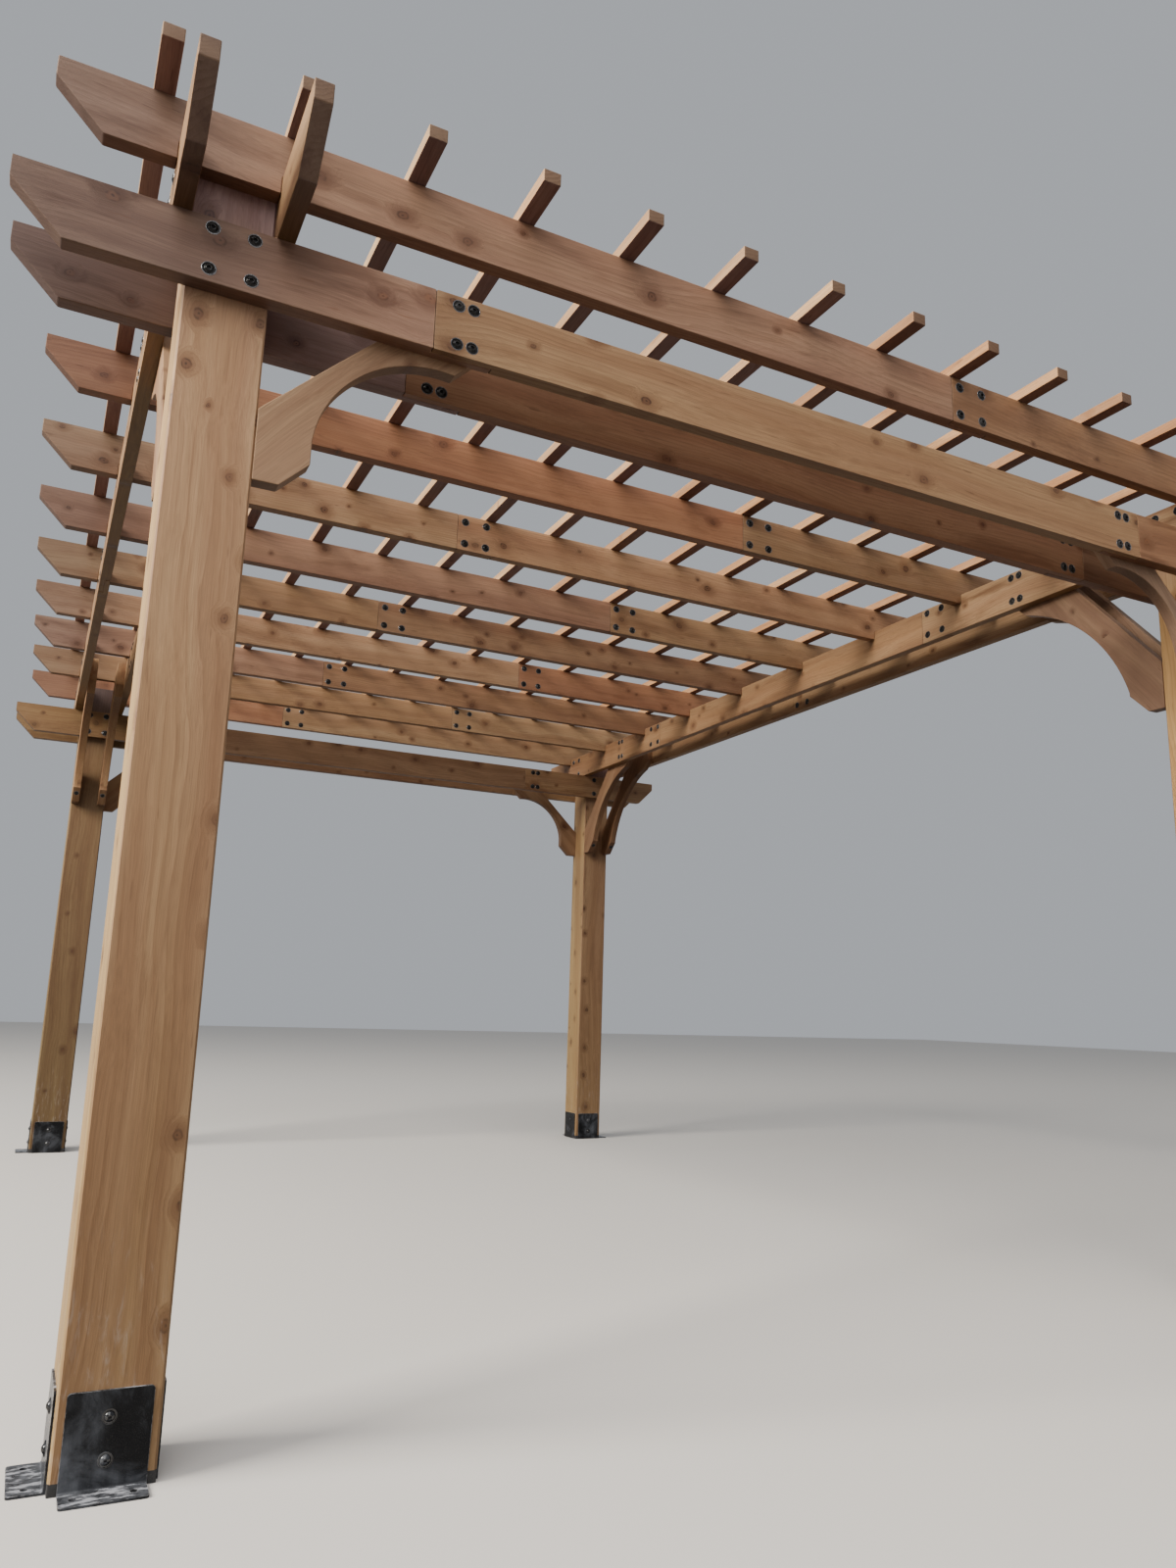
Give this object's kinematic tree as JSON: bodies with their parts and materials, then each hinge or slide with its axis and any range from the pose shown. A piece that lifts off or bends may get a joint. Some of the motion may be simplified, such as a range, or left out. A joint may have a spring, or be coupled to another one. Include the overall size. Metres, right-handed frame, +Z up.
{
  "type": "wooden pergola",
  "caption": "Free-standing open timber pergola: square posts on steel feet, paired beams with cut tails, curved knee braces, notched rafters and slats on top.",
  "frame": {"origin": "centre of the footprint at ground level, under the undersides of the four foot pads", "axes": "+X along the front towards the right, +Y from front to back, +Z up"},
  "size_m": [3.566, 4.794, 2.371],
  "materials": {
    "post_cedar": "satin, clear-stained",
    "beam_cedar": "satin, clear-stained",
    "rafter_cedar": "satin, clear-stained",
    "slat_cedar": "satin, clear-stained",
    "brace_cedar": "satin, clear-stained",
    "black_steel": "black powder coat, satin",
    "foot_pad": "matte black"
  },
  "bodies": {
    "root": {"foot_anchors_front_left": "black_steel", "foot_anchors_front_right": "black_steel", "foot_anchors_rear_left": "black_steel", "foot_anchors_rear_right": "black_steel", "foot_cover_plates": "black_steel", "foot_pads": "foot_pad", "front_beam_centre_boards": "beam_cedar", "front_beam_end_boards": "beam_cedar", "knee_braces_front_left": "brace_cedar", "knee_braces_front_right": "brace_cedar", "knee_braces_rear_left": "brace_cedar", "knee_braces_rear_right": "brace_cedar", "left_beam_centre_boards": "beam_cedar", "left_beam_end_boards": "beam_cedar", "post_front_left": "post_cedar", "post_front_right": "post_cedar", "post_rear_left": "post_cedar", "post_rear_right": "post_cedar", "rafter_01_left": "rafter_cedar", "rafter_01_right": "rafter_cedar", "rafter_02_left": "rafter_cedar", "rafter_02_right": "rafter_cedar", "rafter_03_left": "rafter_cedar", "rafter_03_right": "rafter_cedar", "rafter_04_left": "rafter_cedar", "rafter_04_right": "rafter_cedar", "rafter_05_left": "rafter_cedar", "rafter_05_right": "rafter_cedar", "rafter_06_left": "rafter_cedar", "rafter_06_right": "rafter_cedar", "rafter_07_left": "rafter_cedar", "rafter_07_right": "rafter_cedar", "rafter_08_left": "rafter_cedar", "rafter_08_right": "rafter_cedar", "rafter_09_left": "rafter_cedar", "rafter_09_right": "rafter_cedar", "rafter_10_left": "rafter_cedar", "rafter_10_right": "rafter_cedar", "rear_beam_centre_boards": "beam_cedar", "rear_beam_end_boards": "beam_cedar", "right_beam_centre_boards": "beam_cedar", "right_beam_end_boards": "beam_cedar", "slats_left": "slat_cedar", "slats_right": "slat_cedar"}
  },
  "joints": []
}
